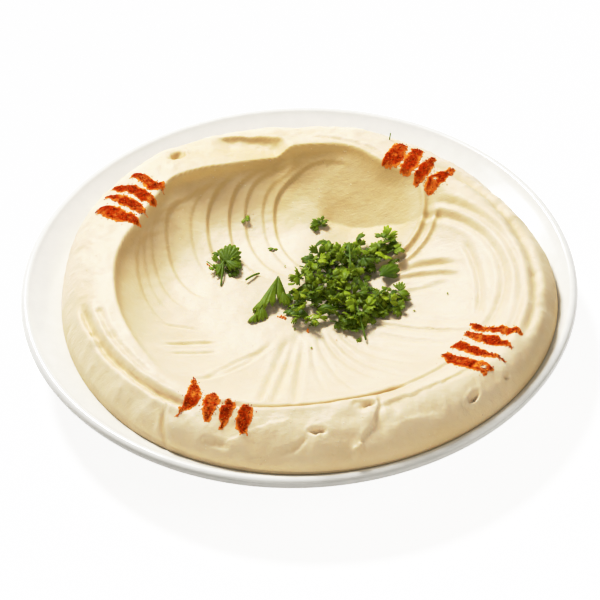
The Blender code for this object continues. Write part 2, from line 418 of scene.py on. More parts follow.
def plain_bank(x, y):
    """The bank without marks, and how far a place is inside the crest."""
    radius, angle = around(x, y, WELL_MIDDLE)
    crest, crest_height, foot, toe, wall_bend, bank_bend = bank_at(angle)
    up_wall = np.clip((radius - toe) / (crest - toe), 0, None)
    wall = WELL_FLOOR + (crest_height - WELL_FLOOR) * up_wall**wall_bend
    down_bank = np.clip((radius - crest) / (foot - crest), 0, 1)
    base = foot_height(angle, foot)
    bank = base + (crest_height - base) * (1 - down_bank**bank_bend)**(1 / 1.7)
    sharp_edge = between(angle, 75, 200, 30)
    return lesser(wall, bank, 1.3 - 0.9 * sharp_edge), crest - radius


# %% Hummus: marks of the spoon
def furrow(side, depth, width, lip=0.35):
    """A furrow's cross-section, with the paste pushed up on both sides of it."""
    pushed = np.exp(-((np.abs(side) - 1.9 * width) / width)**2)
    return depth * (lip * pushed - np.exp(-(side / width)**2))


def ledge(side, height, edge, reach):
    """A step down towards positive side, fading out on both sides."""
    return -0.5 * height * np.tanh(side / edge) * np.exp(-np.abs(side) / reach)


SPOON_RADIUS = 21.0
SPOON_STRETCH = 0.62            # the marks' lower ends trail off, so they are drawn out
SPOON_PATH = np.array([(12, 42), (0, 41), (-9, 38.5), (-22, 35), (-32, 29), (-39, 20), (-44, 8)], float)
# place along the path, height of the step, directions where it starts and ends
SPOON_MARKS = [
    (0.0, 2.6, 74, 235), (0.075, 1.1, 118, 225), (0.165, 2.0, 104, 240), (0.29, 2.5, 100, 235),
    (0.415, 2.4, 96, 235), (0.50, 0.9, 110, 205), (0.66, 1.9, 112, 235), (0.79, 1.1, 128, 235),
    (0.87, 0.8, 140, 225), (0.95, 1.2, 140, 240),
]


def path_point(points, t):
    """A point on the smooth curve through points, with t from 0 to 1."""
    last = len(points) - 1
    i = min(int(t * last), last - 1)
    f = t * last - i
    p0, p1, p2, p3 = points[max(i - 1, 0)], points[i], points[i + 1], points[min(i + 2, last)]
    return 0.5 * (2 * p1 + (p2 - p0) * f + (2 * p0 - 5 * p1 + 4 * p2 - p3) * f**2
                  + (3 * p1 - 3 * p2 + p3 - p0) * f**3)


def spoon_marks(x, y):
    """The height of the steps, and how close a place is to the edge of one, from 0 to 1, which later paints a shade
    line along the edge.
    """
    height, line = np.zeros_like(x), np.zeros_like(x)
    for place, step, first, last in SPOON_MARKS:
        cx, cy = path_point(SPOON_PATH, place)
        dy = (y - cy) * np.where(y < cy, SPOON_STRETCH, 1.0)
        radius, angle = around(x - cx, dy, (0, 0))
        radius = radius + 1.3 * np.exp(-((angle - 125) / 22)**2)
        mark = between(angle, first, last, 26.0) * (0.4 + 0.6 * ease((angle - 105) / 60))
        height += mark * ledge(SPOON_RADIUS - radius, 0.54 * step, 0.36, 4.2)
        line = np.maximum(line, mark * min(step / 2, 1) * np.exp(-((SPOON_RADIUS - radius) / 0.6)**2))
    return height, line


SCOOP_MIDDLE = (27.0, 37.0)
SCOOP_RADIUS = 24.5


def last_scoop(x, y):
    """The last, deepest touch of the spoon: a smooth hollow with a thin lip round its right side."""
    radius, angle = around(x, y, SCOOP_MIDDLE)
    side = radius - SCOOP_RADIUS
    angle = turn(angle)
    hollow = -2.8 * ease(1 - radius / (SCOOP_RADIUS + 2)) * ease((y - 8) / 10)
    behind = y - 37.3 + 0.33 * (x - 26) + 0.5 * speckle(x, y, 4.0, 15)
    valley = np.where(behind > 0, np.exp(-np.abs(behind) / 8.0), np.exp(-np.abs(behind) / 3.0))
    hollow -= 1.7 * valley * between(x, 16, 40, 8)
    lip = between(angle, -78, 12, 14)
    ridge = lip * 1.1 * np.exp(-(side / 0.9)**2)
    dip = -lip * 0.75 * np.exp(-((side - 2.4) / 1.2)**2)
    second = between(angle, -62, -18, 10)
    outer = second * (0.9 * np.exp(-((side - 5.0) / 0.9)**2) - 0.6 * np.exp(-((side - 7.2) / 1.3)**2))
    return hollow + ridge + dip + outer


FAN_MIDDLE = (4.0, -9.0)
# direction, inner and outer end, depth, width, degrees that the ray bends along its length
FAN_RAYS = [
    (234, 32, 62, 0.5, 1.1, -4), (247, 26, 66, 0.7, 1.5, 6), (254, 22, 66, 0.8, 1.6, 3),
    (262, 24, 66, 0.7, 1.5, 2), (270, 26, 52, 0.3, 1.0, 4), (278, 24, 55, 0.35, 1.0, 6),
    (286, 24, 50, 0.5, 1.1, 8), (294, 25, 56, 0.5, 1.1, 8), (303, 26, 54, 0.4, 1.2, 8),
    (312, 28, 50, 0.25, 1.2, 6), (325, 36, 58, 0.5, 1.1, 4), (334, 30, 64, 0.6, 1.0, 2),
    (342, 32, 60, 0.3, 1.2, 0), (4, 36, 48, 0.5, 1.2, 0), (17, 38, 54, 0.8, 1.4, -8),
    (25, 38, 54, 1.2, 1.8, -9),
]


def fan_rays(x, y):
    height = np.zeros_like(x)
    radius, angle = around(x, y, FAN_MIDDLE)
    for direction, start, end, depth, width, bend in FAN_RAYS:
        ray = direction + bend * (radius - start) / (end - start)
        side = np.radians(turn(angle - ray)) * radius
        near = np.abs(turn(angle - ray)) < 60
        height += near * between(radius, start, end, 9.0) * furrow(side, depth, width)
    return height


# angle from and to, radius at the start, the middle and the end, depth, width
TRACKS = [
    (345, 373, 69, 67.5, 66, 0.7, 1.3), (338, 392, 75.5, 76, 63.5, 0.9, 1.8),
    (332, 390, 85.5, 82.5, 71, 0.9, 1.8), (338, 402, 91, 86.5, 81, 1.5, 2.1),
    (256, 313, 80, 74.5, 73.2, 0.9, 0.9), (248, 294, 80.9, 76.6, 73.6, 2.1, 1.8),
    (194, 236, 88, 87.2, 87.4, 2.2, 1.5), (197, 222, 82.5, 82.5, 83, 0.6, 1.2),
    (64, 84, 73, 75.5, 77.5, 0.7, 0.9),
]


def long_tracks(x, y):
    height = np.zeros_like(x)
    radius, angle = around(x, y, WELL_MIDDLE)
    for start, end, first, middle, last, depth, width in TRACKS:
        t = turn(angle - 0.5 * (start + end)) / (0.5 * (end - start))
        line = middle + 0.5 * (last - first) * t + (0.5 * (first + last) - middle) * t * t
        height += (np.abs(t) < 2) * between(t, -1, 1, 0.3) * furrow(radius - line, depth, width)
    return height


# %% Hummus: short creases, lumps and pits
# two ends, bow to the left, depth, width
CREASES = [
    ((-52, -34), (-33, -29), 1.5, 0.6, 0.9), ((-49, -40), (-32, -35), 1.0, 0.5, 0.9),
    ((-53, -20), (-39, -21), 0.5, 0.3, 0.8), ((-51, -79), (-50, -90), -1.5, 1.4, 1.1),
    ((-38, -93), (-27, -97), 0.5, 0.7, 0.9), ((-9, -101), (1, -97), -1.0, 0.5, 0.9),
    ((-36, -56), (-17, -36), 1.5, 0.5, 1.0),
]
# place, width and height of each lump; pits are negative
LUMPS = [
    (24, -90, 3.2, 1.3), (16, -86, 4.0, 1.0), (19, -101, 1.2, 2.2), (20.8, -99.6, 0.9, 1.7), (5, -98.2, 2.2, 0.9),
    (60.6, -81.6, 1.7, -0.7), (74.5, -69.5, 1.0, 0.5), (22, -86, 1.4, -1.2), (30, -88, 2.4, 0.9),
    (-79, -41, 2.6, 1.3), (-77, -26, 1.4, -0.8), (-80, -50, 1.6, 0.8), (-48.4, 63.4, 3.0, -0.8), (-44.8, 66.5, 1.7, 0.7),
    (-47, -86, 3.5, 0.8), (-38, -90, 5.0, 0.7), (-8, -92, 6.0, 0.6), (45, -80, 5.0, 0.6), (-68, -66, 4.0, 0.6),
    (88, -30, 3.0, 0.7), (92, -12, 2.4, -0.7), (87, 20, 2.6, -0.6), (-20, -95, 3.0, -0.5), (-60, -78, 3.0, 0.6),
]


# air holes in the front bank: middle, half length, half width, direction, depth
HOLES = [(5.0, -95.0, 2.6, 0.95, -4, 2.4), (63.6, -77.6, 2.5, 0.9, 50, 2.6), (76.6, -66.6, 1.3, 0.55, 50, 1.6),
         (24.5, -84.6, 2.2, 0.9, 10, 1.7), (-79.5, -36.5, 1.6, 0.7, 100, 1.2),
         (-48.4, 63.4, 2.9, 2.4, 75, 2.8)]
# torn or folded edges in the front bank: two ends, bow to the left, height of the step
# down to the right hand of someone walking from the first end to the second
TEARS = [
    ((18.0, -84.5), (28.0, -82.5), 0.6, 1.4), ((28.0, -81.5), (21.5, -97.5), 2.0, -1.9),
    ((65.0, -61.0), (28.8, -84.4), 2.85, -1.4), ((-50.5, -76), (-49.0, -92), -1.5, 1.9),
    ((-29.0, -95.5), (-4.0, -90.5), 1.0, -0.8), ((33.0, -93.0), (50.0, -86.0), 0.5, -0.6),
]


def short_marks(x, y):
    height = np.zeros_like(x)
    for (x0, y0), (x1, y1), bow, step in TEARS:
        length = math.hypot(x1 - x0, y1 - y0)
        ux, uy = (x1 - x0) / length, (y1 - y0) / length
        t = ((x - x0) * ux + (y - y0) * uy) / length
        side = (x - x0) * uy - (y - y0) * ux + bow * 4 * t * (1 - t) + 0.5 * speckle(x, y, 2.5, 12)
        height += between(t, 0.12, 0.88, 0.25) * ledge(side, abs(step), 0.45, 4.0) * math.copysign(1, step)
    for (x0, y0), (x1, y1), bow, depth, width in CREASES:
        length = math.hypot(x1 - x0, y1 - y0)
        ux, uy = (x1 - x0) / length, (y1 - y0) / length
        along = (x - x0) * ux + (y - y0) * uy
        side = -(x - x0) * uy + (y - y0) * ux
        t = along / length
        side = side - bow * 4 * t * (1 - t)
        height += between(t, 0.15, 0.85, 0.3) * furrow(side, depth, width)
    for cx, cy, long, short, heading, depth in HOLES:
        c, d = math.cos(math.radians(heading)), math.sin(math.radians(heading))
        along, across = ((x - cx) * c + (y - cy) * d) / long, ((y - cy) * c - (x - cx) * d) / short
        far = np.hypot(along, across)
        far = far * (1 + 0.25 * speckle(x, y, 1.5, 14))
        height += 0.12 * depth * np.exp(-((far - 1.9) / 0.6)**2) - depth * np.exp(-far**3)
    for cx, cy, width, rise in LUMPS:
        height += rise * np.exp(-((x - cx)**2 + (y - cy)**2) / width**2)
    # the rear flap: the paste behind stands higher than the shelf in front of it
    side = 74.6 - 0.2 * (x + 18) - 0.004 * (x + 18)**2 - y + 0.15 * speckle(x, y, 3.0, 13)
    fall = np.clip(side, 0, None)
    drop = (1.4 * (1 - np.exp(-fall / 0.7)) + 4.6 * (1 - np.exp(-fall / 6.0))) * between(x, -26, -9, 9)
    drop += 2.4 * (1 - np.exp(-fall / 6.0)) * between(x, -42, -10, 9)
    height -= drop * np.exp(-(fall / 12.0)**2)
    return height


def undercut(inside, direction):
    """Under the sharp edge the wall of the well is cut steeper."""
    under = np.clip(inside - 0.3, 0, None)
    return 2.4 * between(direction, 62, 205, 25) * (1 - np.exp(-under / 1.5)) * np.exp(-under / 19.0)


def speckle(x, y, size, seed):
    """Smooth random unevenness from -1 to 1, with features of one size."""
    u, v = x / size, y / size
    i, j = np.floor(u), np.floor(v)
    fu, fv = ease(u - i), ease(v - j)

    def corner(a, b):
        raw = np.sin(a * 127.1 + b * 311.7 + seed * 74.7) * 43758.5453
        return 2 * (raw - np.floor(raw)) - 1

    low = corner(i, j) * (1 - fu) + corner(i + 1, j) * fu
    high = corner(i, j + 1) * (1 - fu) + corner(i + 1, j + 1) * fu
    return low * (1 - fv) + high * fv


def hummus_height(x, y):
    """The height of the hummus at x, y, all in millimetres."""
    plain, inside = plain_bank(x, y)
    well = ease(inside / 5.0)
    outside = ease(-inside / 8.0)
    height = plain + well * (spoon_marks(x, y)[0] + last_scoop(x, y) + fan_rays(x, y))
    height += long_tracks(x, y) + short_marks(x, y) - undercut(inside, around(x, y, WELL_MIDDLE)[1])
    height += 0.35 * speckle(x, y, 13.0, 1) + 0.16 * speckle(x, y, 5.0, 2)
    height += outside * (0.75 * speckle(x, y, 9.0, 3) + 0.32 * speckle(x, y, 3.6, 4))
    height += (0.06 + 0.10 * outside) * speckle(x, y, 1.7, 5)
    return lesser(height, TOP_LIMIT, 0.8)

# %% Hummus: a fine grid over the bank
def ring_grid(rings):
    """Places on a disc as parts of its radius and directions, with cells of even size.

    Ring k has 8k places, so the cells near the middle are no finer than those at the edge.
    """
    part, direction = [0.0], [0.0]
    for k in range(1, rings + 1):
        part += [k / rings] * (8 * k)
        direction += [45.0 * j / k for j in range(8 * k)]
    faces = []
    for k in range(1, rings + 1):
        outer, inner = 1 + 4 * k * (k - 1), 1 + 4 * (k - 1) * (k - 2) if k > 1 else 0
        around_outer, around_inner = 8 * k, max(8 * (k - 1), 1)
        for eighth in range(8):
            for j in range(k):
                o0 = outer + (eighth * k + j) % around_outer
                o1 = outer + (eighth * k + j + 1) % around_outer
                i0 = inner + (eighth * (k - 1) + min(j, k - 1)) % around_inner
                if j < k - 1:
                    i1 = inner + (eighth * (k - 1) + j + 1) % around_inner
                    faces.append((i0, o0, o1, i1))
                else:
                    faces.append((i0, o0, o1))
    return np.array(part), np.array(direction), faces


GRID_RINGS = 149
UNDERSIDE = (1.0, 0.8, 0.6, 0.4)
part, direction, faces = ring_grid(GRID_RINGS)
reach = part * bank_at(direction)[2]
hx = WELL_MIDDLE[0] + reach * np.cos(np.radians(direction))
hy = WELL_MIDDLE[1] + reach * np.sin(np.radians(direction))
hz = hummus_height(hx, hy)
on_foot = part > 0.9999
hz[on_foot] = foot_height(direction[on_foot], reach[on_foot])
points = list(zip(hx, hy, hz))

# %% Hummus: close it underneath, just above the plate
rim_count = 8 * GRID_RINGS
rim_start = len(points) - rim_count
previous = rim_start
for scale in UNDERSIDE:
    ring_x = WELL_MIDDLE[0] + (hx[rim_start:rim_start + rim_count] - WELL_MIDDLE[0]) * scale
    ring_y = WELL_MIDDLE[1] + (hy[rim_start:rim_start + rim_count] - WELL_MIDDLE[1]) * scale
    start = len(points)
    points += list(zip(ring_x, ring_y, dish_height(np.hypot(ring_x, ring_y)) + 0.12))
    for j in range(rim_count):
        k = (j + 1) % rim_count
        faces.append((previous + j, start + j, start + k, previous + k))
    previous = start
points.append((*WELL_MIDDLE, PLATE_FLOOR + 0.12))
faces += [(previous + j, len(points) - 1, previous + (j + 1) % rim_count) for j in range(rim_count)]
print("hummus faces:", len(faces), "highest", round(float(hz.max()), 2), "mm")

# %% [markdown]
# ## The look of hummus
# Fresh hummus is a pale cream that lets a little light in, so shaded slopes turn a warm tan
# instead of grey. The finish is half matt with a moist sheen, finely grained, with tiny air
# holes. Shade is also painted into the colour: the depth of the marks is kept as an attribute
# on the mesh, and the paste is painted a darker tan in the furrows. So is how far each place
# turns away from the window lamp, with more painted shade behind the well, outside the bank,
# on the rear shelf and in the last scoop. Concave creases, the line just inside the sharp
# crest and the edges of the spoon steps get painted shade too, and so do the tiny air holes.

# %% Hummus: paste material
paste = Recipe("hummus_paste", Subsurface_Weight=0.30, Subsurface_Scale=1.2 * MM,
               Subsurface_Radius=(1.0, 0.70, 0.40), Specular_IOR_Level=0.35)
clouds = paste.noise(16.0, 3.0)
fine_grain = paste.noise(0.55, 2.0)
smears = paste.noise(2.6, 3.0, stretch=(1.0, 2.4, 1.0))
mark_depth = paste.attribute("mark_depth")
cream = paste.mix(clouds.stretched(0.35, 0.7), (0.75, 0.624, 0.445), (0.79, 0.674, 0.50))
# painted shade: the cream turns darker tan in the furrows, on slopes turned from the window lamp and along creases
cream = paste.mix(0.30 * mark_depth, cream, (0.68, 0.51, 0.28))
cream = paste.mix(0.86 * paste.attribute("away"), cream, (0.605, 0.428, 0.13))
cream = paste.mix(0.24 * paste.attribute("crease"), cream, (0.60, 0.45, 0.22))
cells = paste.node("ShaderNodeTexVoronoi", {"feature": "F1"},
                   {"Vector": paste.place(), "Scale": 1 / (3.2 * MM)}, "Distance")
# tiny air holes: a dent in the bump, and painted shade in the colour
air_hole_pit_and_shade = (1 - cells.stretched(0.05, 0.13)) * paste.noise(5.0).stretched(0.52, 0.6)
cream = paste.mix(0.45 * air_hole_pit_and_shade, cream, (0.62, 0.46, 0.27))
grit = paste.node("ShaderNodeTexVoronoi", {"feature": "F1"},
                  {"Vector": paste.place(), "Scale": 1 / (2.3 * MM)}, "Distance")
speck = (1 - grit.stretched(0.06, 0.16)) * paste.noise(7.0).stretched(0.48, 0.56)
cream = paste.mix(0.5 * speck, cream, (0.84, 0.76, 0.62))
hummus_paste = paste.surface(
    Base_Color=cream,
    Roughness=0.40 + 0.22 * smears,
    Normal=paste.bump(0.35 * fine_grain + 1.2 * smears + 0.9 * speck - 0.8 * air_hole_pit_and_shade, 0.5, 0.3),
)

# %% Hummus: the piece
hummus = new_mesh_object("spooned_hummus", points, faces, hummus_paste)
# painted furrow shade: how far each place lies below the plain bank and its undercut darkens the colour there
plain, inside = plain_bank(hx, hy)
plain -= undercut(inside, direction)
below = np.zeros(len(points))
below[:len(hz)] = np.clip((plain - hz - 0.15) / 1.1, 0, 1)
set_attribute(hummus.data, "mark_depth", below)
# painted shade: the colour darkens where a slope turns away from the window lamp, with extra zones behind the well,
# outside the bank, on the rear shelf and in the last scoop
FROM_WINDOW = np.array([-0.30, 0.57, 0.77])
STEP = 0.45
right, left = hummus_height(hx + STEP, hy), hummus_height(hx - STEP, hy)
behind, front = hummus_height(hx, hy + STEP), hummus_height(hx, hy - STEP)
slope_x, slope_y = (right - left) / (2 * STEP), (behind - front) / (2 * STEP)
facing = FROM_WINDOW[2] - FROM_WINDOW[0] * slope_x - FROM_WINDOW[1] * slope_y
facing = facing / np.sqrt(1 + slope_x**2 + slope_y**2)
away = np.ones(len(points))
rear_painted_shade = 0.5 * between(direction, 85, 140, 20)
rear_painted_shade += (0.24 + 0.34 * between(direction, 305, 352, 20)) * ease(-(inside + 9) / 12)
rear_painted_shade += 0.42 * between(turn(direction + 12), -20, 25, 15) * ease(-(inside + 3) / 8)
away[:len(hz)] = ease((0.69 - facing) / 0.95) * (0.12 + rear_painted_shade + (0.88 - rear_painted_shade) * ease(inside / 3.0 + 0.5))
away[:len(hz)] *= 1 - 0.2 * between(direction, 155, 235, 20)
shelf_painted_shade = between(direction, 100, 130, 12) * between(inside, -12, -2, 4)
scoop_painted_shade = between(direction, 40, 100, 15) * between(inside, 0, 26, 4)
away[:len(hz)] = np.clip(away[:len(hz)] + 0.22 * shelf_painted_shade + 0.22 * scoop_painted_shade, 0, 1)
set_attribute(hummus.data, "away", away)
# painted crease shade: darker in concave creases, just inside the sharp crest and along the edges of the spoon steps
crease = np.zeros(len(points))
crease[:len(hz)] = np.clip((right + left + behind + front - 4 * hz) / STEP**2 - 0.25, 0, 1.0)
painted_crest_shade = between(direction, 80, 195, 15) * np.exp(-((inside - 0.5) / 0.7)**2)
crease[:len(hz)] = np.maximum(crease[:len(hz)], np.maximum(0.8 * painted_crest_shade, spoon_marks(hx, hy)[1]))
set_attribute(hummus.data, "crease", crease)
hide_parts("hummus")
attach(hummus, "root")

# %% [markdown]
# # Paprika
# Ground paprika was laid across the bank in four groups of four short stripes, probably with
# the edge of a spoon. A stripe is a thin crust of powder: deep red where it lies thick, orange
# where the paste shows through at its ragged edge. The crusts are draped patches, cut out of a
# grid much finer than the hummus, with a grainy upper side. Loose grains on and beside them
# are small rough stones that Geometry Nodes scatter.

# %% Paprika: where the stripes lie, in millimetres
# each stripe: places along its middle, with its width there
STRIPES = [
    [(-80, 31.5, 3), (-76.5, 31.5, 7.7), (-71.5, 27.5, 8.2), (-67, 25.5, 6.5), (-64, 22.5, 3.5)],
    [(-76.5, 41, 3), (-73, 39.5, 4.7), (-69, 35.5, 5.4), (-64.5, 32, 5.4), (-61.5, 28, 3.5)],
    [(-73.5, 47, 1.8), (-70, 44.5, 4.7), (-65, 41, 4.7), (-61.5, 38, 5.9), (-57.5, 34, 4.2)],
    [(-66, 51.5, 3.8), (-62.5, 49, 5.1), (-59, 45, 5.8), (-57, 43.4, 5.8), (-53.6, 43.2, 5.1)],
    [(44.5, 67.5, 5.6), (42, 60, 7.4), (39.6, 55.5, 8), (38.4, 53, 7)],
    [(51, 65, 4.4), (48, 56, 6.8), (45.6, 51, 6.7), (44, 48.5, 5.6)],
    [(57, 58.5, 2.4), (53.5, 51.5, 5.5), (51.2, 46.8, 6), (48.6, 43.8, 3)],
    [(64, 51.5, 3.1), (58.5, 45, 6.3), (55.4, 42, 6.5), (54, 39, 4.5)],
    [(66, -33, 1.6), (68.5, -36, 3.3), (73.5, -40, 3.8), (79, -43, 5.4), (83.5, -46.5, 1.6)],
    [(63.5, -38, 3.8), (69, -43.5, 4.9), (74, -48.5, 5.9), (79.5, -54.5, 1.6)],
    [(59.5, -43.5, 5.4), (64.5, -49.5, 4.9), (69.5, -56, 3.8), (76, -61.5, 1.1)],
    [(54.5, -49.5, 3.8), (59.5, -56.5, 7), (64, -61.5, 6.5), (69.5, -67, 5.9)],
    [(-40.5, -60, 1.1), (-40, -70, 4.4), (-40.5, -76.5, 6.3), (-42.5, -79, 4.8), (-46, -83, 0.9)],
    [(-33, -71.5, 2), (-33.5, -78, 6.2), (-34.5, -82, 5.8), (-35.5, -87, 2)],
    [(-27.5, -77.5, 1.8), (-27, -82, 5.7), (-28.5, -85.5, 4.8), (-30, -90, 1.3)],
    [(-21, -80.5, 2.9), (-21, -85.5, 5.8), (-22, -89.5, 5.8), (-22, -93.5, 2.4)],
]
# places where the powder is thin or missing: middle and radius
BARE = [(-67.5, 29.5, 1.4), (65.6, -62.6, 1.5), (68.0, -64.8, 1.6), (56.5, 44.0, 1.2), (62.0, 50.0, 1.0)]
PATCH_CELL = 0.24
POWDER_DEPTH = 0.36


def stripe_lines(stations):
    """The middle line of a stripe, finely divided: places, widths and the length up to each."""
    t = np.linspace(0, 1, 160)
    line = np.array([path_point(np.array(stations, float), part) for part in t])
    steps = np.hypot(np.diff(line[:, 0]), np.diff(line[:, 1]))
    return line, np.concatenate([[0], np.cumsum(steps)])


def stripe_places(stations, s, w):
    """World places for distances s along a stripe and w across it, with its half width there."""
    line, length = stripe_lines(stations)
    inside = np.clip(s, 0, length[-1])
    x, y = np.interp(inside, length, line[:, 0]), np.interp(inside, length, line[:, 1])
    ahead = np.clip(inside + 0.4, 0, length[-1])
    behind = np.clip(inside - 0.4, 0, length[-1])
    ux = np.interp(ahead, length, line[:, 0]) - np.interp(behind, length, line[:, 0])
    uy = np.interp(ahead, length, line[:, 1]) - np.interp(behind, length, line[:, 1])
    size = np.hypot(ux, uy)
    ux, uy = ux / size, uy / size
    beyond = s - inside
    half = 0.5 * np.interp(inside, length, line[:, 2])
    return x + ux * beyond - uy * w, y + uy * beyond + ux * w, half


def stripe_patch(index, stations):
    """Points, faces and cover of one crust of powder: top, underside and edge."""
    length = stripe_lines(stations)[1][-1]
    width = max(station[2] for station in stations)
    along = np.arange(-1.5, length + 1.5, PATCH_CELL)
    across = np.arange(-0.8 * width, 0.8 * width, PATCH_CELL)
    s, w = np.meshgrid(along, across, indexing="ij")
    x, y, half = stripe_places(stations, s, w)
    ragged = 0.55 * speckle(s, w, 1.9, 60 + index) + 0.42 * speckle(s, w, 0.75, 80 + index)
    end = np.minimum(s + 0.6, length + 0.6 - s)
    edge = np.minimum(half + ragged - np.abs(w), end + ragged)
    thin = speckle(s, w, 3.1, 100 + index) + 0.6 * speckle(s, w, 1.1, 120 + index)
    for bx, by, reach in BARE:
        thin -= 3.0 * np.exp(-((x - bx)**2 + (y - by)**2) / reach**2)
    keep = (edge > 0) & (np.minimum(edge, 0.7) + 0.5 * thin > -0.35)
    ground = hummus_height(x, y)
    cover = ease(edge / 1.3) * np.clip(0.62 + 0.38 * thin, 0.05, 1)
    grain = 0.5 + 0.5 * speckle(s, w, 0.42, 140 + index)
    top = ground + 0.05 + POWDER_DEPTH * ease(edge / 0.5) * (0.35 + 0.85 * grain) * (0.4 + 0.6 * cover)
    number = -np.ones(s.shape, int)
    cell = keep[:-1, :-1] & keep[1:, :-1] & keep[:-1, 1:] & keep[1:, 1:]
    used = np.zeros(s.shape, bool)
    for di in (0, 1):
        for dj in (0, 1):
            used[di:used.shape[0] - 1 + di, dj:used.shape[1] - 1 + dj] |= cell
    number[used] = np.arange(used.sum())
    below = used.sum()
    upper = np.stack([x[used], y[used], top[used]], 1)
    lower = np.stack([x[used], y[used], ground[used] - 0.25], 1)
    faces, walls = [], {}
    for i, j in zip(*np.nonzero(cell)):
        a, b, c, d = number[i, j], number[i + 1, j], number[i + 1, j + 1], number[i, j + 1]
        faces += [(a, b, c, d), (d + below, c + below, b + below, a + below)]
        for side in ((a, b), (b, c), (c, d), (d, a)):
            if side[::-1] in walls:
                del walls[side[::-1]]
            else:
                walls[side] = True
    faces += [(b, a, a + below, b + below) for a, b in walls]
    return np.concatenate([upper, lower]), faces, np.tile(cover[used], 2)


# %% Paprika: powder material
powder = Recipe("paprika_powder", Specular_IOR_Level=0.03)
cover = powder.attribute("cover")
mottle = powder.noise(1.1, 3.0)
dust = powder.noise(0.35, 2.0)
deep_red = powder.mix(mottle.stretched(0.35, 0.65), (0.20, 0.008, 0.0001), (0.48, 0.045, 0.0003))
warm_edge = powder.mix(dust, (0.80, 0.19, 0.004), (0.86, 0.37, 0.06))
thickness = (cover + 0.55 * (mottle - 0.5)).stretched(0.05, 0.6)
paprika_powder = powder.surface(
    Base_Color=powder.mix(thickness, warm_edge, deep_red),
    Roughness=0.75 + 0.2 * dust,
    Normal=powder.bump(dust, 0.7, 0.25),
)

# %% Paprika: the crusts
crust_points, crust_faces, crust_cover = [], [], []
for index, stripe in enumerate(STRIPES):
    patch, patch_faces, patch_cover = stripe_patch(index, stripe)
    first = sum(len(p) for p in crust_points)
    crust_points.append(patch)
    crust_faces += [tuple(int(v) + first for v in face) for face in patch_faces]
    crust_cover.append(patch_cover)
crust_points = np.concatenate(crust_points)
crusts = new_mesh_object("paprika_crusts", crust_points, crust_faces, paprika_powder)
set_attribute(crusts.data, "cover", np.concatenate(crust_cover))
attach(crusts, "root")
print("paprika crust faces:", len(crust_faces))

# %% Paprika: loose grains
GRAINS_PER_STRIPE = 190
rng = np.random.default_rng(7)
grain_points, grain_sizes = [], []
for stations in STRIPES:
    length = stripe_lines(stations)[1][-1]
    along = rng.uniform(-0.04, 1.03, GRAINS_PER_STRIPE) * length
    side = rng.normal(0, 0.52, GRAINS_PER_STRIPE)
    side = np.where(rng.random(GRAINS_PER_STRIPE) < 0.05, side * 2.0, side)
    half = stripe_places(stations, along, 0 * along)[2]
    gx, gy, _ = stripe_places(stations, along, side * half)
    lift = np.where(np.abs(side) < 0.75, 0.28, 0.04)
    grain_points.append(np.stack([gx, gy, hummus_height(gx, gy) + lift], 1))
    grain_sizes.append(0.13 + 0.16 * rng.random(GRAINS_PER_STRIPE)**2)
# a few crumbs of powder lie round the foot of the parsley
CRUMBS = [(-7.2, -15.2, 0.5), (-6.4, -15.7, 0.5), (-7.8, -15.7, 0.45), (-5.6, -16.3, 0.5), (-5.9, -16.9, 0.4),
          (3.0, -23.7, 0.5), (2.8, -24.5, 0.45), (3.1, -25.2, 0.4), (-6.9, -16.3, 0.4), (-8.6, -15.2, 0.4),
          (-36.4, 16.6, 0.45), (-35.6, 15.7, 0.4), (14.0, -30.0, 0.2)]
crumbs = np.array(CRUMBS)
crumb_height = hummus_height(crumbs[:, 0], crumbs[:, 1]) + 0.2
grain_points.append(np.column_stack([crumbs[:, 0], crumbs[:, 1], crumb_height]))
grain_sizes.append(crumbs[:, 2])
grain_seed = new_mesh_object("grain_seed", np.concatenate(grain_points), [])
set_attribute(grain_seed.data, "grain_size", np.concatenate(grain_sizes) * MM)
grain_cover = rng.uniform(0.1, 0.9, len(grain_seed.data.vertices))
grain_cover[-len(crumbs):] = 0.0
set_attribute(grain_seed.data, "cover", grain_cover)
scatter = Growth("powder_grains")
places = scatter.node("GeometryNodeMeshToPoints", {}, {"Mesh": scatter.inlet.outputs["Geometry"]})
stone = scatter.node("GeometryNodeMeshIcoSphere", {}, {"Radius": 1.0, "Subdivisions": 1}, "Mesh")
spin = scatter.node("FunctionNodeRandomValue", {"data_type": "FLOAT_VECTOR"},
                    {"Max": (6.28, 6.28, 6.28), "Seed": 3}, "Value")
flat = scatter.node("ShaderNodeVectorMath", {"operation": "SCALE"},
                    {0: (1.25, 0.9, 0.75), "Scale": scatter.named("grain_size")}, "Vector")
grown = scatter.node("GeometryNodeInstanceOnPoints", {},
                     {"Points": places, "Instance": stone, "Rotation": spin, "Scale": flat})
scatter.finish(grown, paprika_powder)
grains = scatter.grow(grain_seed, "paprika_grains")
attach(grains, "root")
print("paprika grain faces:", len(grains.data.polygons))
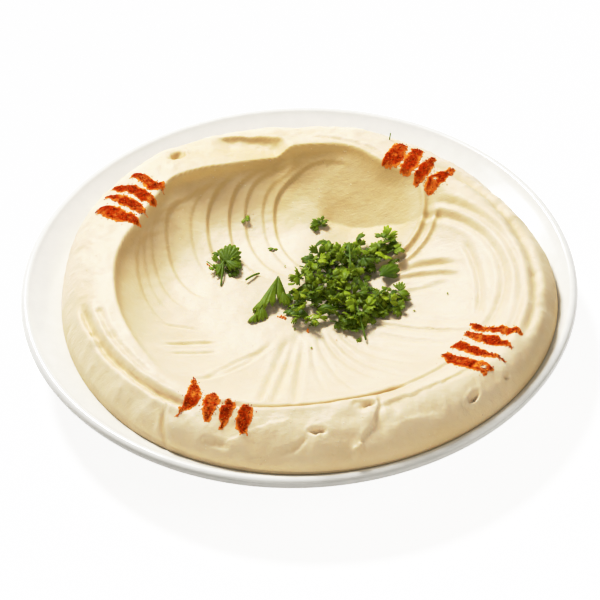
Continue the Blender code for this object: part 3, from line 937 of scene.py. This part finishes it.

# %% [markdown]
# # Chopped parsley
# The garnish is coarsely chopped curly parsley: bits of frilled leaf 5 to 14 mm across, a few
# stalks, and one large flat leaf that escaped the knife. A leaf is thin but not flat: its
# teeth curl under and its blades cup. Each kind of sprig is built once as a small closed mesh:
# wedge-shaped leaflets with toothed rims, bent in three ways, on a short stalk. Geometry
# Nodes then set many turned and scaled copies on the given tufts.

# %% Parsley: one leaflet
def leaflet(teeth, length, spread, cup, curl, frill, seed, along=3, per_tooth=3, tooth=0.24):
    """Points, faces and rim value of a toothed blade growing along +X from the origin."""
    chance = np.random.default_rng(seed)
    columns = teeth * per_tooth + 1
    angle = np.linspace(-0.5, 0.5, columns)
    tooth_height = chance.uniform(0.75, 1.0, teeth + 1)
    phase = (angle + 0.5) * teeth
    which = np.clip(np.floor(phase).astype(int), 0, teeth - 1)
    point = 1 - np.abs(2 * (phase - which) - 1)
    reach = length * (0.60 + 0.12 * np.cos(2 * math.pi * angle) + tooth * point**0.8 * tooth_height[which])
    rows = np.linspace(0, 1, along + 1)[1:]
    points = [(0.0, 0.0, 0.0)]
    rim = [0.0]
    for row in rows:
        narrow = 0.35 + 0.65 * row
        theta = angle * math.radians(spread) * (1.15 - 0.15 * row)
        r = row * (reach * row + length * 0.62 * (1 - row))
        px, py = r * np.cos(theta), r * np.sin(theta) * narrow**0.3
        wave = frill * length * row**2 * np.sin(phase * math.pi * 2 + seed)
        height = wave - cup * length * (2 * angle)**2 * row - curl * length * row**3 * (0.5 + point)
        points += list(zip(px, py, height))
        rim += [float(row)] * columns
    faces = [(0, 1 + j, 2 + j) for j in range(columns - 1)]
    for i in range(along - 1):
        near, far = 1 + i * columns, 1 + (i + 1) * columns
        faces += [(near + j, far + j, far + j + 1, near + j + 1) for j in range(columns - 1)]
    return np.array(points), faces, np.array(rim)


def stalk(start, end, thick, sag, sides=5, steps=5):
    """A thin closed tube from start to end that bows by sag."""
    start, end = np.array(start, float), np.array(end, float)
    path = [start + (end - start) * t + np.array([0, 0, sag * 4 * t * (1 - t)])
            for t in np.linspace(0, 1, steps + 1)]
    axis = (end - start) / np.linalg.norm(end - start)
    one = np.cross(axis, (0.3, 0.1, 1.0))
    one /= np.linalg.norm(one)
    two = np.cross(axis, one)
    turns = np.arange(sides) * 2 * math.pi / sides
    points = [p + thick * (math.cos(a) * one + math.sin(a) * two) for p in path for a in turns]
    faces = []
    for i in range(steps):
        for j in range(sides):
            k = (j + 1) % sides
            faces.append((i * sides + j, i * sides + k, (i + 1) * sides + k, (i + 1) * sides + j))
    faces += [tuple(reversed(range(sides))), tuple(range(steps * sides, (steps + 1) * sides))]
    return np.array(points), faces


def turned(points, yaw, pitch, roll, move=(0, 0, 0)):
    """Points turned about X, Y and Z, in degrees, then moved."""
    turn_matrix = (Matrix.Rotation(math.radians(yaw), 3, "Z") @ Matrix.Rotation(math.radians(pitch), 3, "Y")
                   @ Matrix.Rotation(math.radians(roll), 3, "X"))
    return points @ np.array(turn_matrix).T + np.array(move, float)


# %% Parsley: thin blades get a thickness
LEAF_THICKNESS = 0.16


def thick_blade(points, faces):
    """Closes a thin sheet into a solid by adding its other side and its rim."""
    normal = np.zeros_like(points)
    edges = {}
    for face in faces:
        a, b, c = (points[v] for v in face[:3])
        n = np.cross(b - a, c - a)
        for v in face:
            normal[v] += n
        for a, b in zip(face, face[1:] + face[:1]):
            if (b, a) in edges:
                del edges[(b, a)]
            else:
                edges[(a, b)] = True
    normal /= np.maximum(np.linalg.norm(normal, axis=1, keepdims=True), 1e-9)
    count = len(points)
    both = np.concatenate([points + normal * LEAF_THICKNESS / 2, points - normal * LEAF_THICKNESS / 2])
    shell = list(faces) + [tuple(v + count for v in reversed(face)) for face in faces]
    shell += [(b, a, a + count, b + count) for a, b in edges]
    return both, shell


def sprig(name, seed, leaflets, size, spread_out, stalk_length):
    """One kind of chopped sprig: leaflets round the end of a short stalk."""
    chance = np.random.default_rng(seed)
    all_points, all_faces, all_rim = [], [], []
    total = 0
    for k in range(leaflets):
        share = 0.5 if leaflets == 1 else k / (leaflets - 1)
        blade, faces, rim = leaflet(int(chance.integers(3, 6)), size * chance.uniform(0.7, 1.0),
                                    chance.uniform(60, 100), chance.uniform(-0.08, 0.18),
                                    chance.uniform(-0.10, 0.24), chance.uniform(0.02, 0.06), seed * 10 + k)
        blade = turned(blade, (share - 0.5) * spread_out + chance.uniform(-12, 12),
                       chance.uniform(-26, 10), chance.uniform(-28, 28),
                       (0.14 * size * share, 0, 0.05 * size * k))
        solid, faces = thick_blade(blade, faces)
        all_points.append(solid)
        all_faces += [tuple(v + total for v in face) for face in faces]
        all_rim.append(np.tile(rim, 2))
        total += len(solid)
    if stalk_length:
        tube, faces = stalk((-stalk_length, 0, -0.1 * size), (0.15 * size, 0, 0), 0.26, 0.3)
        all_points.append(tube)
        all_faces += [tuple(v + total for v in face) for face in faces]
        all_rim.append(np.full(len(tube), -1.0))
    made = new_mesh_object(name, np.concatenate(all_points), all_faces)
    set_attribute(made.data, "rim", np.concatenate(all_rim))
    return made


# %% [markdown]
# ## Parsley's colour
# Cut parsley runs from blackish green in its folds to bright yellow green, and its skin is glossy.
# The tips of the blades are painted lighter: painted light for the light that shines through
# thin tips. Every copy carries its own tone, partly random and partly painted shade, which makes
# the lower layers of the heap and the leaf in the notch darker. The stalks are paler than the blades.

# %% Parsley: leaf material
leaf = Recipe("parsley_leaf", Specular_IOR_Level=0.24, Subsurface_Weight=0.12,
              Subsurface_Scale=0.8 * MM, Subsurface_Radius=(0.5, 1.0, 0.15))
shade = leaf.attribute("shade")
rim = leaf.attribute("rim")
vein = leaf.noise(1.3, 3.0)
blotch = leaf.noise(3.5, 2.0)
dark_green = leaf.mix(blotch, (0.036, 0.078, 0.0005), (0.090, 0.178, 0.001))
bright_green = leaf.mix(blotch, (0.20, 0.29, 0.003), (0.38, 0.44, 0.012))
# the tips of the blades are painted lighter (painted light shining through them), and the tone carries painted shade
leaf_tone_and_painted_light = (shade + 0.35 * (vein - 0.5) + 0.18 * rim.stretched(0.5, 1.0)).clamped()
blade_green = leaf.mix(leaf_tone_and_painted_light, dark_green, bright_green)
stalk_mask = (0 - rim).stretched(0.2, 0.8)
parsley_leaf = leaf.surface(
    Base_Color=leaf.mix(stalk_mask, blade_green, (0.13, 0.21, 0.012)),
    Roughness=0.34 + 0.25 * vein,
    Normal=leaf.bump(vein, 0.55, 0.35),
)

# %% Parsley: the kinds of sprig
kinds = bpy.data.collections.new("sprig_kinds")
KINDS = [(3, 4.6, 150, 0), (3, 5.0, 140, 2.5), (4, 5.4, 180, 0), (2, 6.0, 90, 3.0), (4, 4.6, 210, 0),
         (3, 5.4, 170, 0), (2, 6.4, 80, 0), (1, 7.0, 0, 0), (2, 6.0, 70, 0)]
SPRIG_KINDS, FLAKE = 7, 7
for k, (leaflets, size, spread_out, stalk_length) in enumerate(KINDS):
    made = sprig(f"sprig_kind_{k}", 20 + k, leaflets, size, spread_out, stalk_length)
    bpy.context.scene.collection.objects.unlink(made)
    kinds.objects.link(made)

# %% Parsley: where the heap lies, in millimetres
# its outline, gone round clockwise, with the notches between its tufts
HEAP_OUTLINE = np.array([
    (11, 25), (14.5, 23), (20, 27), (25, 27), (28.5, 21), (32, 26), (39, 25.5), (43, 18), (40, 12.0), (33, 10.0),
    (28.5, 8), (26.5, 4), (27, -1.5), (31, -4.0), (36, -4.5), (43, -5.5), (42.5, -14), (37, -17.5), (30, -20),
    (26, -25), (20, -27.5), (14, -25.5), (10.5, -21), (9.5, -14), (5, -12), (1.5, -12.5), (-2.5, -15), (-4, -9),
    (-6, -4), (-4, 3), (-1.5, 9), (2.5, 13), (3, 19.5), (7.5, 21.5), (9.5, 19),
])
# small tufts on their own: place and reach
SMALL_TUFTS = [(5.5, -20.5, 2.6), (-1.0, -17.5, 1.8), (33.5, -13.5, 4.0), (22.0, -23.5, 3.0)]
# layer: height over the paste, how far inside the outline, distance between sprigs, tone from and to; the lower
# layers' darker tones are painted shade
LAYERS = [(0.7, 0.8, 4.4, 0.0, 0.45), (2.3, 1.8, 4.0, 0.05, 0.90), (4.4, 4.4, 4.1, 0.20, 1.0)]
MAX_TILT = 42.0


def inside_outline(outline, x, y):
    """How far inside a closed outline each place is, negative outside."""
    ax, ay = outline[:, 0], outline[:, 1]
    bx, by = np.roll(ax, -1), np.roll(ay, -1)
    px, py = np.asarray(x)[:, None], np.asarray(y)[:, None]
    t = np.clip(((px - ax) * (bx - ax) + (py - ay) * (by - ay)) / ((bx - ax)**2 + (by - ay)**2), 0, 1)
    far = np.hypot(px - ax - t * (bx - ax), py - ay - t * (by - ay)).min(axis=1)
    crossing = (ay > py) != (by > py)
    left = px < (bx - ax) * (py - ay) / np.where(by == ay, 1e-9, by - ay) + ax
    return np.where((crossing & left).sum(axis=1) % 2 == 1, far, -far)


def spread_places(outline, margin, apart, chance):
    """Places inside an outline that keep a distance from each other."""
    low, high = outline.min(axis=0), outline.max(axis=0)
    tries = chance.uniform(low, high, (6000, 2))
    tries = tries[inside_outline(outline, tries[:, 0], tries[:, 1]) > margin]
    kept = []
    for place in tries:
        if all((place[0] - q[0])**2 + (place[1] - q[1])**2 > apart**2 for q in kept):
            kept.append(place)
    return kept


def heap_rows():
    """Places, turns, sizes, kinds and shades of all sprigs of the heap."""
    chance = np.random.default_rng(11)
    rows = []
    # each layer's tone range: the lower layers are darker, as painted shade under the layers above
    for lift, margin, apart, dark, light in LAYERS:
        places = spread_places(HEAP_OUTLINE, margin, apart, chance)
        for cx, cy, reach in SMALL_TUFTS:
            ring = cx + reach * np.cos(np.linspace(0, 6.28, 9)), cy + reach * np.sin(np.linspace(0, 6.28, 9))
            places += spread_places(np.stack(ring, 1)[:-1], 0.3 * margin, 0.8 * apart, chance) if lift < 5 else []
        for x, y in places:
            ground = float(hummus_height(np.array([x]), np.array([y]))[0])
            tilt = MAX_TILT if lift > 2 else 16.0
            rows.append((x, y, ground + lift + chance.uniform(-0.4, 1.0), chance.uniform(-tilt, tilt),
                         chance.uniform(-tilt, tilt), chance.uniform(0, 360), chance.uniform(0.8, 1.2),
                         chance.integers(0, SPRIG_KINDS), chance.uniform(dark, light)))
    return rows


# larger dark pieces that lie on the heap, and loose bits round it: place, height over the paste, turns in degrees, scale, kind, shade
LOOSE_BITS = [
    (7.1, 19.5, 4.5, -10, 8, 70, 1.15, 7, 0.10), (14.2, 17.0, 6.0, -14, 0, 140, 1.1, 7, 0.05),
    (18.5, 13.0, 6.2, 8, -10, 30, 1.1, 8, 0.08), (24.0, 23.0, 5.0, -12, 6, 80, 1.2, 7, 0.15),
    (14.2, -16.0, 5.0, -10, 10, 200, 1.3, 7, 0.05), (18.4, -3.7, 6.5, -8, -8, 100, 1.2, 7, 0.55),
    (26.0, 12.0, 5.5, 10, 12, 300, 1.0, 8, 0.10), (22.0, -10.0, 6.0, -12, 4, 20, 1.1, 7, 0.12),
    (8.0, 4.0, 5.8, -10, 6, 130, 1.0, 7, 0.60), (4.0, -6.0, 4.5, -8, 8, 220, 1.0, 7, 0.10),
    (1.0, -12.5, 2.2, -6, 12, 250, 1.1, 8, 0.05), (-1.5, -13.5, 1.4, 6, 8, 200, 0.9, 7, 0.12),
    (8.6, 37.5, 1.2, -20, 10, 200, 0.85, 1, 0.30), (10.2, 38.6, 1.4, 10, -20, 40, 0.7, 4, 0.5),
    (9.4, 36.8, 0.9, -6, 0, 100, 0.9, 2, 0.15), (7.2, 37.6, 0.8, 0, -8, 290, 0.7, 0, 0.55),
    (-10.4, 24.2, 0.5, 0, 12, 20, 0.55, 7, 0.5), (-9.0, 24.0, 0.6, 4, 0, 190, 0.55, 7, 0.3),
    (-21.4, 40.0, 0.3, 0, 0, -20, 0.75, 0, 0.65), (31.7, -18.9, 0.5, 0, 8, 160, 0.40, 7, 0.7),
    (-2.8, -23.7, 0.5, 0, 10, 60, 0.32, 7, 0.35), (58.0, -12.3, 0.5, 0, 0, 90, 0.22, 7, 0.2),
    (4.4, -34.8, 0.5, 0, 10, 120, 0.26, 7, 0.6), (23.5, -29.5, 0.9, 0, 15, 255, 0.60, 7, 0.5),
    (44.0, -17.5, 0.6, 0, 5, 20, 0.25, 7, 0.5), (-5.5, 13.0, 0.5, 5, 0, 80, 0.2, 7, 0.4),
]


def set_on_paste(bits):
    rows = []
    for x, y, lift, *rest in bits:
        rows.append((x, y, float(hummus_height(np.array([x]), np.array([y]))[0]) + lift, *rest))
    return rows


sprigs_growing = Growth("set_sprigs")
sprig_points = sprigs_growing.node("GeometryNodeMeshToPoints", {}, {"Mesh": sprigs_growing.inlet.outputs["Geometry"]})
chosen = sprigs_growing.node("GeometryNodeCollectionInfo", {"transform_space": "RELATIVE"},
                             {"Collection": kinds, "Separate Children": True, "Reset Children": True})
set_out = sprigs_growing.node("GeometryNodeInstanceOnPoints", {}, {
    "Points": sprig_points, "Instance": chosen, "Pick Instance": True,
    "Instance Index": sprigs_growing.named("kind", "INT"),
    "Rotation": sprigs_growing.named("turn", "FLOAT_VECTOR"),
    "Scale": sprigs_growing.named("size"),
})
shaded = sprigs_growing.node("GeometryNodeStoreNamedAttribute", {"data_type": "FLOAT", "domain": "INSTANCE"},
                             {"Geometry": set_out, "Name": "shade", "Value": sprigs_growing.named("tone")})
sprigs_growing.finish(shaded, parsley_leaf)


def grow_sprigs(name, rows):
    """Sets sprigs on rows of place, turn, size, kind and shade, and returns their mesh."""
    seedlings = new_mesh_object(name + "_seed", rows[:, :3], [])
    layer = seedlings.data.attributes.new("turn", "FLOAT_VECTOR", "POINT")
    layer.data.foreach_set("vector", np.radians(rows[:, 3:6]).ravel())
    set_attribute(seedlings.data, "size", rows[:, 6])
    set_attribute(seedlings.data, "kind", rows[:, 7].astype(int), "INT")
    set_attribute(seedlings.data, "tone", rows[:, 8])
    made = sprigs_growing.grow(seedlings, name)
    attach(made, "root")
    print(name, "faces:", len(made.data.polygons))
    return made


heap = grow_sprigs("parsley_leaves", np.array(heap_rows() + set_on_paste(LOOSE_BITS)))
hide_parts("parsley_heap")

# %% [markdown]
# ## The large folded leaf and the sprig
# One large leaf lies folded at the left of the heap, its two halves falling away from the
# fold. Left of it stands the sprig: a toothed fan that leans back on its stalk, with a
# smaller blade in front and another at its side.

# %% Parsley: pieces built one by one
def hand_built(name, blades, stalks, shade):
    """A closed mesh from blades (leaflet values, turn and place) and stalks (ends, thickness, bow)."""
    all_points, all_faces, all_rim, total = [], [], [], 0
    parts = []
    for k, (teeth, length, spread, cup, curl, frill, turns, place) in enumerate(blades):
        blade, faces, rim = leaflet(teeth, length, spread, cup, curl, frill, 300 + 7 * k + len(name), 7, 5, 0.15)
        solid, faces = thick_blade(turned(blade, *turns, place), faces)
        parts.append((solid, faces, np.tile(rim, 2)))
    for start, end, thick, bow in stalks:
        tube, faces = stalk(start, end, thick, bow, 7, 8)
        parts.append((tube, faces, np.full(len(tube), -1.0)))
    for solid, faces, rim in parts:
        all_points.append(solid)
        all_faces += [tuple(v + total for v in face) for face in faces]
        all_rim.append(rim)
        total += len(solid)
    made = new_mesh_object(name, np.concatenate(all_points), all_faces, parsley_leaf)
    set_attribute(made.data, "rim", np.concatenate(all_rim))
    set_attribute(made.data, "shade", np.full(total, shade))
    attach(made, "root")
    print(name, "faces:", len(made.data.polygons))
    return made


# teeth, length, spread, cup, curl, frill, (yaw, pitch, roll), place
BIG_LEAF = [
    (6, 23.0, 34, 0.16, 0.035, 0.012, (-122, 12, 34), (-8.0, 1.6, 26.6)),
    (5, 10.0, 66, 0.16, 0.12, 0.03, (-136, 10, 24), (-13.0, -7.5, 24.0)),
    (5, 9.0, 80, 0.14, 0.14, 0.03, (-108, 12, 4), (-14.4, -11.5, 23.4)),
    (4, 6.0, 80, 0.16, 0.16, 0.04, (-138, 6, 14), (-16.8, -15.4, 22.4)),
    (5, 14.0, 50, 0.16, 0.05, 0.012, (-80, 19, -24), (-7.8, 1.4, 26.6)),
    (5, 8.0, 84, 0.14, 0.14, 0.04, (-66, 14, -10), (-6.4, -5.4, 24.4)),
]
NOTCH_LEAF = [
    (5, 13.5, 66, 0.12, 0.05, 0.010, (45, 3, 14), (32.0, 0.0, 26.0)),
    (4, 8.0, 80, 0.12, 0.08, 0.020, (78, 4, -10), (33.5, 2.0, 25.8)),
]
HEAP_STALKS = [
    ((20.6, 16.0, 30.2), (20.6, 0.0, 31.2), 0.36, 0.8), ((29.0, -14.5, 27.5), (34.5, -9.0, 28.0), 0.32, 0.3),
    ((22.5, -17.0, 26.0), (25.2, -32.0, 22.2), 0.38, 0.6),
    ((39.3, 70.9, 37.0), (39.8, 71.6, 40.4), 0.22, 0.0),
]
hand_built("large_leaf", BIG_LEAF, HEAP_STALKS, 0.40)
# the leaf in the notch gets a nearly black tone: painted shade of the notch
hand_built("notch_leaf", NOTCH_LEAF, [], 0.06)
# place, height over the paste, turns in degrees, scale, kind, shade
SPRIG_BITS = [
    (-30.5, 19.0, 2.0, -14, -8, 80, 0.9, 2, 0.20), (-26.5, 18.5, 2.4, -10, 14, 30, 0.9, 5, 0.30),
    (-27.5, 15.5, 3.2, -24, 4, 60, 0.8, 4, 0.60), (-25.2, 14.5, 2.4, -8, 22, -20, 0.9, 0, 0.20),
    (-31.0, 15.5, 2.8, -20, -14, 120, 0.8, 3, 0.50), (-27.0, 10.5, 1.6, 12, 16, -60, 0.7, 6, 0.10),
    (-33.4, 12.0, 1.6, 0, -18, 170, 0.6, 1, 0.50), (-29.2, 13.2, 1.4, 6, 4, 20, 0.9, 2, 0.10),
    (-27.4, 14.8, 1.8, -6, 0, 140, 0.9, 4, 0.15), (-25.0, 12.2, 1.4, 4, 14, -30, 0.7, 4, 0.15),
]
SPRIG_STALKS = [
    ((-29.8, 14.0, 23.6), (-30.9, 3.2, 20.9), 0.40, 0.5), ((-31.5, 10.5, 21.6), (-36.6, 17.4, 21.3), 0.22, 0.2),
    ((-21.0, 5.0, 21.9), (-15.6, 9.6, 21.0), 0.42, 0.4),
]
sprig_piece = grow_sprigs("parsley_sprig_leaves", np.array(set_on_paste(SPRIG_BITS)))
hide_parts("parsley_sprig")
SPRIG_FAN = [
    (9, 10.5, 125, 0.10, 0.05, 0.012, (62, -22, 12), (-28.8, 14.0, 23.6)),
    (5, 8.0, 80, 0.12, 0.10, 0.015, (-38, -4, 10), (-29.0, 14.5, 24.2)),
    (4, 9.5, 46, 0.12, 0.06, 0.010, (-112, 16, -20), (-29.4, 14.6, 24.4)),
    (4, 5.5, 70, 0.10, 0.10, 0.04, (178, 10, 0), (-30.0, 13.0, 23.4)),
]
hand_built("sprig_fan", SPRIG_FAN, SPRIG_STALKS, 0.22)

# %% [markdown]
# # Table, light and camera
# The dish stands on a plain pale floor. One large lamp behind on the left rakes over the
# bank and draws every mark of the spoon; an even pale surround fills the shadows.

# %% Floor
floor_finish = Recipe("floor_finish", Emission_Strength=0.8)
floor_noise = floor_finish.noise(60.0, 2.0)
floor_paint = floor_finish.surface(
    Base_Color=floor_finish.mix(floor_noise, (0.86, 0.86, 0.855), (0.88, 0.88, 0.875)),
    Roughness=0.7 + 0.1 * floor_noise,
    Emission_Color=floor_finish.mix(floor_noise, (0.99, 0.99, 0.99), (1.0, 1.0, 1.0)),
)
FLOOR_HALF = 3000.0
corners = [(-FLOOR_HALF, -FLOOR_HALF, 0), (FLOOR_HALF, -FLOOR_HALF, 0),
           (FLOOR_HALF, FLOOR_HALF, 0), (-FLOOR_HALF, FLOOR_HALF, 0)]
floor = new_mesh_object("floor", corners, [(0, 1, 2, 3)], floor_paint, smooth=False)
floor.visible_diffuse = False      # its glow must not reach the underside of the lip

# %% Light
def aim(thing, place, target, roll=0.0):
    """Puts a lamp or camera at a place, looking at a target."""
    back = (place - target).normalized()
    thing.location = place
    thing.rotation_mode = "QUATERNION"
    thing.rotation_quaternion = (-back).to_track_quat("-Z", "Y") @ Quaternion((0, 0, 1), math.radians(roll))


def direction_to(azimuth, elevation):
    a, e = math.radians(azimuth), math.radians(elevation)
    return Vector((math.cos(a) * math.cos(e), math.sin(a) * math.cos(e), math.sin(e)))


def soft_lamp(name, azimuth, elevation, distance, size, power, colour):
    lamp = bpy.data.lights.new(name, "AREA")
    lamp.shape = "DISK"
    lamp.size = size
    lamp.energy = power
    lamp.color = colour
    made = bpy.data.objects.new(name, lamp)
    bpy.context.scene.collection.objects.link(made)
    aim(made, distance * direction_to(azimuth, elevation), Vector((0, 0, 0.03)))
    return made


soft_lamp("window", 118, 50, 1.3, 0.42, 21.3, (1.0, 0.995, 0.985))
soft_lamp("right_fill", -20, 25, 1.3, 0.8, 3.0, (1.0, 1.0, 1.0))
soft_lamp("front_fill", -100, 22, 1.3, 0.7, 2.3, (1.0, 1.0, 1.0))
low_fill = soft_lamp("low_fill", -98, 3.0, 1.3, 1.2, 4.4, (1.0, 1.0, 1.0))
low_fill.data.shape = "RECTANGLE"
low_fill.data.size_y = 0.05
low_fill.visible_camera = False
bank_only = bpy.data.collections.new("lit_by_low_fill")
for piece in (hummus, crusts):
    bank_only.objects.link(piece)
low_fill.light_linking.receiver_collection = bank_only
world = bpy.data.worlds.new("studio")
world.use_nodes = True
world.node_tree.nodes["Background"].inputs["Color"].default_value = (1.0, 0.945, 0.86, 1.0)
world.node_tree.nodes["Background"].inputs["Strength"].default_value = 0.30
bpy.context.scene.world = world

# %% Film curve: deeper, warmer shade and highlights that bend over gently
CURVE = [(0.0, 0.0), (0.15, 0.115), (0.3, 0.265), (0.45, 0.455), (0.6, 0.635), (0.75, 0.755), (0.9, 0.84),
         (1.05, 0.92), (1.25, 0.98), (1.6, 1.0)]
WHITE = 1.6
view = bpy.context.scene.view_settings
view.view_transform = "Standard"
view.use_curve_mapping = True
view.curve_mapping.white_level = (WHITE, WHITE, WHITE)
combined = view.curve_mapping.curves[3]
for scene_light, shown in CURVE[1:-1]:
    combined.points.new(scene_light / WHITE, shown)
view.curve_mapping.update()

# %% Camera
CAMERA_ELEVATION = 42.765
CAMERA_DISTANCE = 1.0
CAMERA_TARGET = Vector((0.0003, -0.0123, PLATE_RIM * MM))
CAMERA_ROLL = -1.85
camera = bpy.data.objects.new("camera", bpy.data.cameras.new("camera"))
bpy.context.scene.collection.objects.link(camera)
camera.data.lens = 153.14
camera_place = CAMERA_TARGET + CAMERA_DISTANCE * direction_to(-90, CAMERA_ELEVATION)
aim(camera, camera_place, CAMERA_TARGET, CAMERA_ROLL)
bpy.context.scene.camera = camera
